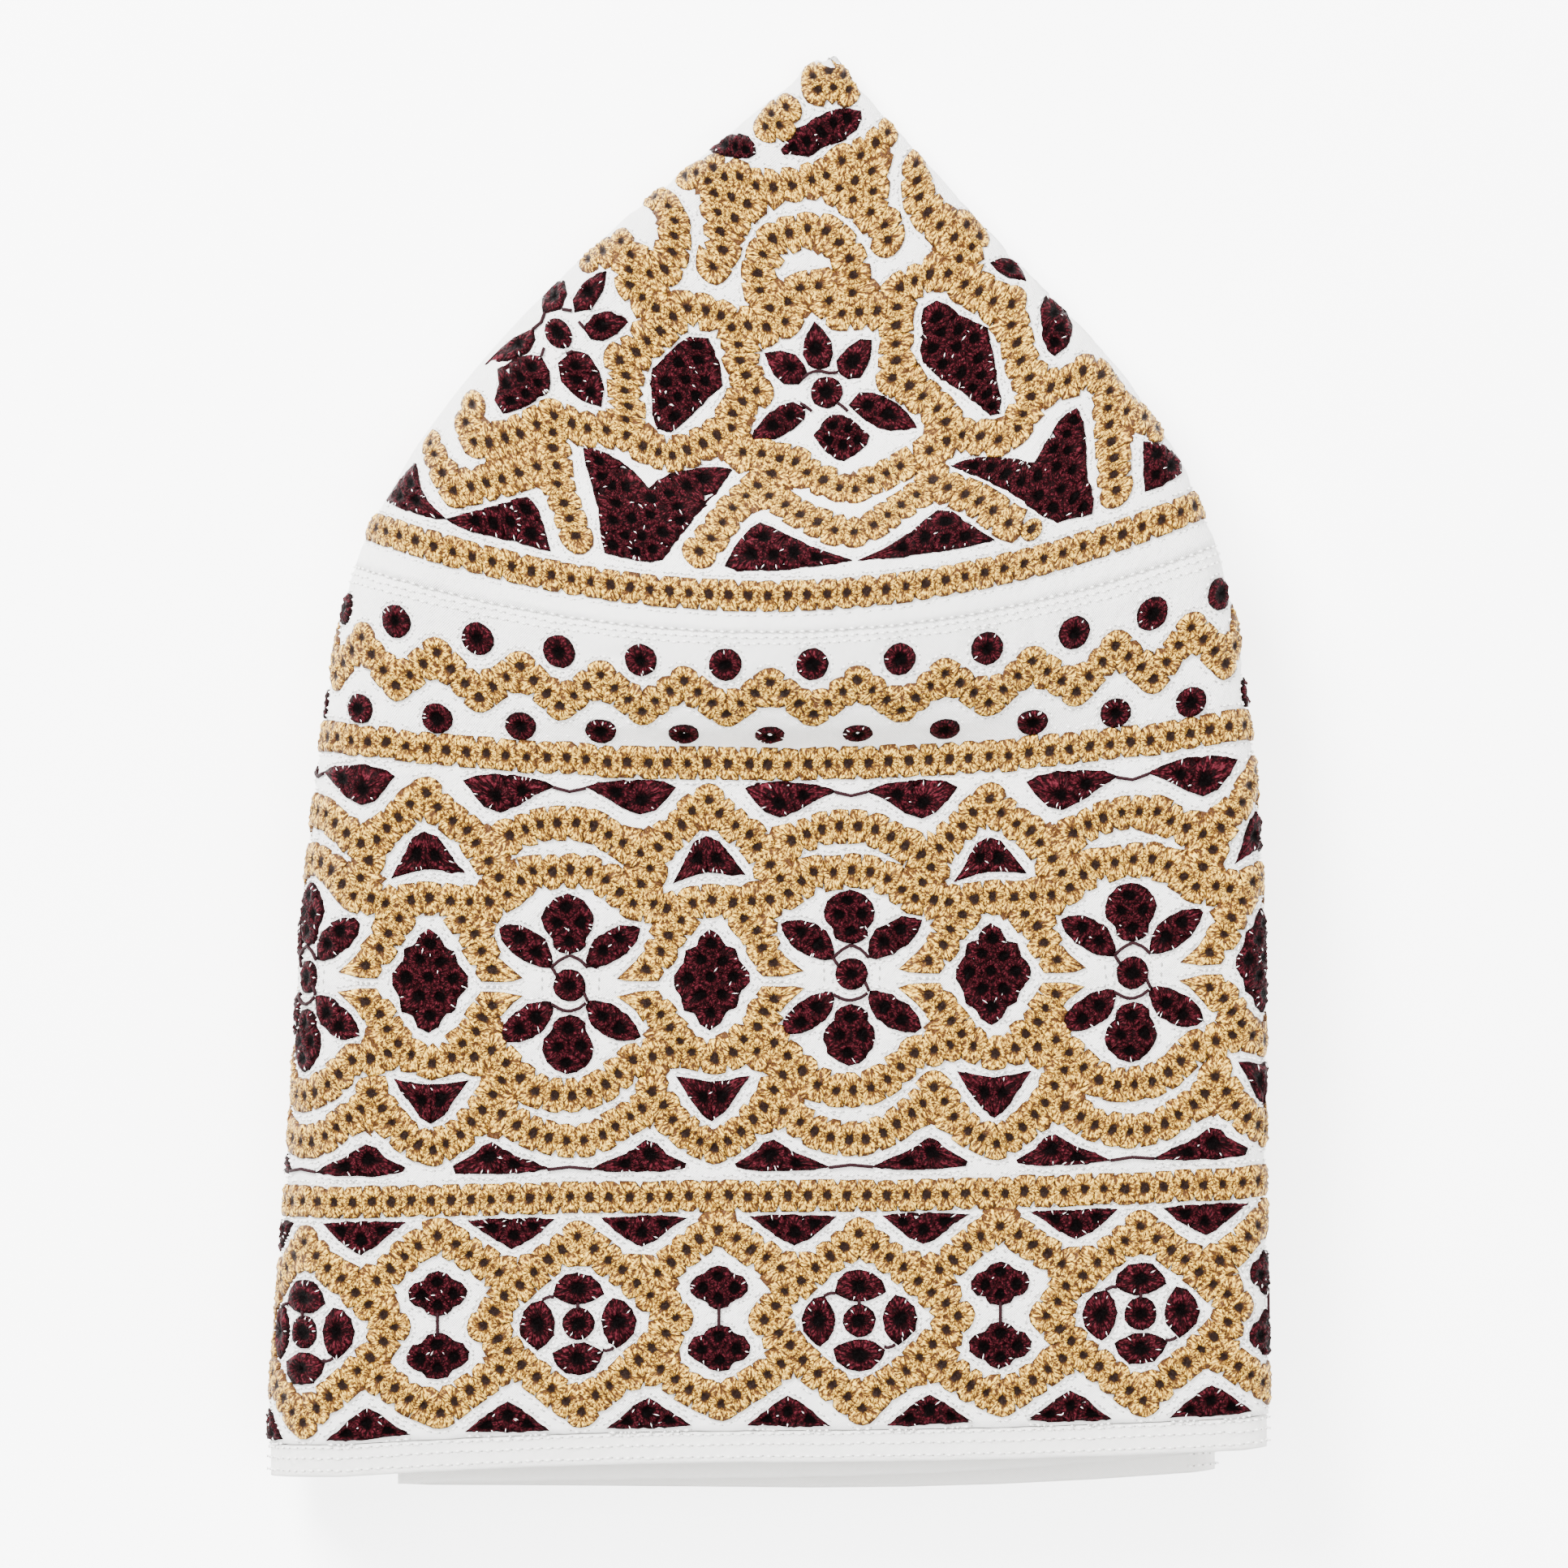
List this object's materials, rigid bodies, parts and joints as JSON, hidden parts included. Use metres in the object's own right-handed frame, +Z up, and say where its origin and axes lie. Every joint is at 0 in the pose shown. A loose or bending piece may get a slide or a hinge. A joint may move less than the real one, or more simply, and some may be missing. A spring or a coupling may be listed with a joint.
{
  "type": "folded prayer cap",
  "caption": "Round-topped embroidered cotton prayer cap with a tall straight side band and a bound hem, folded flat in quarters with its crown drawn to a point.",
  "frame": {"origin": "under the middle of the folded cap, on the surface that its back panel lies on", "axes": "+X to the right across the folded cap, +Y from the hem to the crown's tip, +Z up out of the front panel"},
  "size_m": [0.1472, 0.2098, 0.034],
  "materials": {
    "embroidered_cotton": "white quilted cotton with gold and maroon eyelet embroidery",
    "binding_cotton": "plain white cotton strip with three stitch rows"
  },
  "bodies": {
    "root": {"crown": "embroidered_cotton", "side_band": "embroidered_cotton", "hem_binding": "binding_cotton"}
  },
  "joints": []
}
